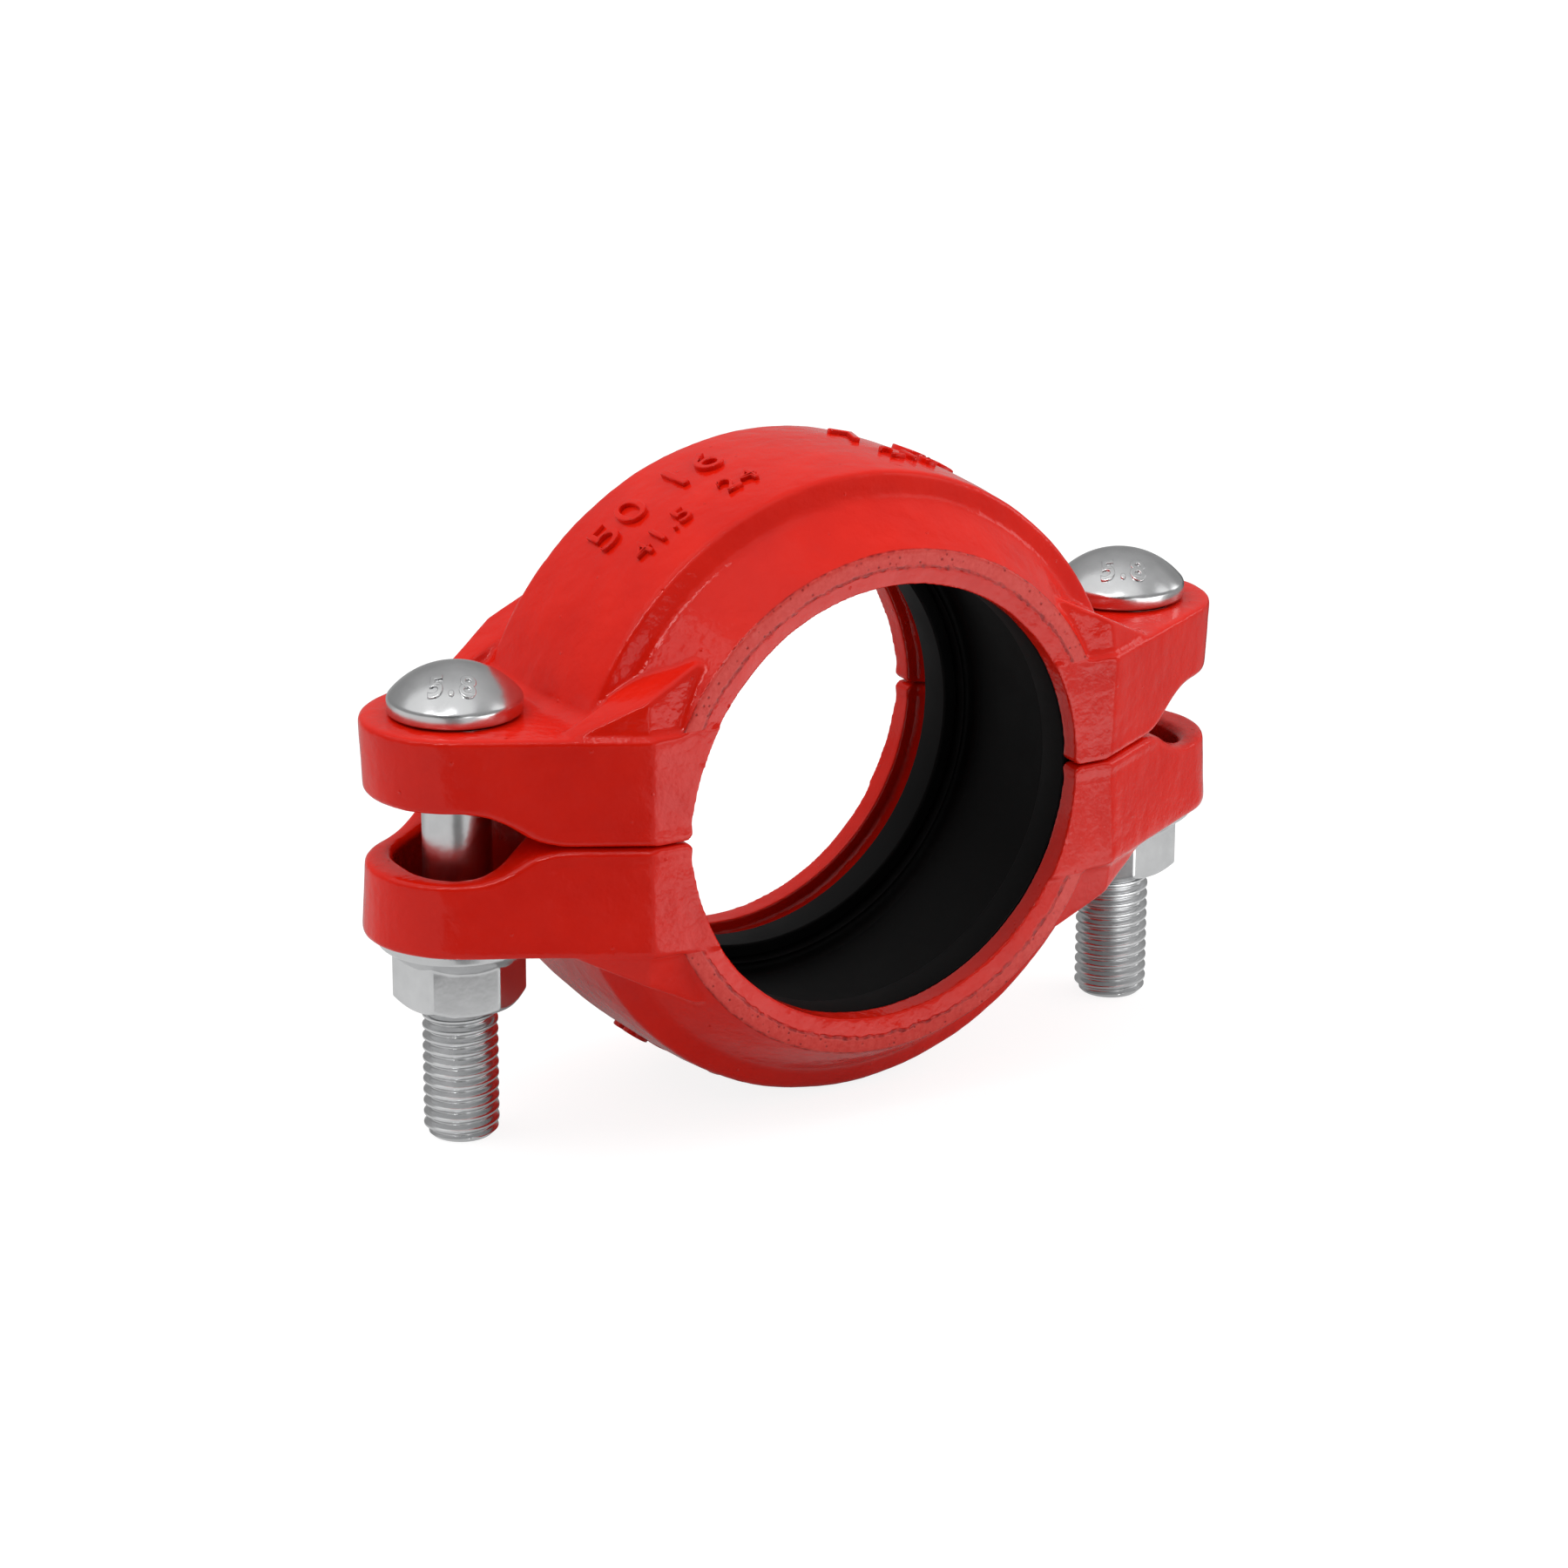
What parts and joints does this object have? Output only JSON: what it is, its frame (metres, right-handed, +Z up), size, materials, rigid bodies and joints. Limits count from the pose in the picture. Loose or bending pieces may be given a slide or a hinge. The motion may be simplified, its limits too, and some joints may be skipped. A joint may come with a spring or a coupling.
{
  "type": "grooved pipe coupling",
  "caption": "Cast half housings bolted round a rubber gasket, with keys that grip the grooves of adjoining pipe ends.",
  "frame": {"origin": "centre of the coupling on the pipe axis, on the plane where the two housings part", "axes": "+Y along the pipe, away from the open face that is seen first; +Z up along the bolts, towards their heads; +X from the left bolt to the right bolt"},
  "size_m": [0.1264, 0.0458, 0.0848],
  "materials": {
    "red_paint": "gloss paint over a cast surface",
    "rubber": "matt",
    "zinc": "zinc plated"
  },
  "bodies": {
    "lower_half": {"lower_housing": "red_paint", "gasket": "rubber"},
    "upper_half": {"upper_housing": "red_paint", "left_bolt": "zinc", "right_bolt": "zinc"},
    "left_nut": {"left_nut": "zinc"},
    "right_nut": {"right_nut": "zinc"}
  },
  "joints": [
    {"name": "left_nut_turn", "type": "hinge", "parent": "lower_half", "child": "left_nut", "pos_m": [-0.0508, 0, -0.0147], "axis": [0, 0, 1], "range_deg": [-4320, 48]},
    {"name": "right_nut_turn", "type": "hinge", "parent": "lower_half", "child": "right_nut", "pos_m": [0.0508, 0, -0.0147], "axis": [0, 0, 1], "range_deg": [-4320, 48]},
    {"name": "upper_half_lift", "type": "slide", "parent": "lower_half", "child": "upper_half", "axis": [0, 0, 1], "range_m": [-0.0002, 0.018]}
  ],
  "couplings": [
    {"joint": "left_nut_turn", "follows": "upper_half_lift", "rad_per_m": -4188.8},
    {"joint": "right_nut_turn", "follows": "upper_half_lift", "rad_per_m": -4188.8}
  ]
}
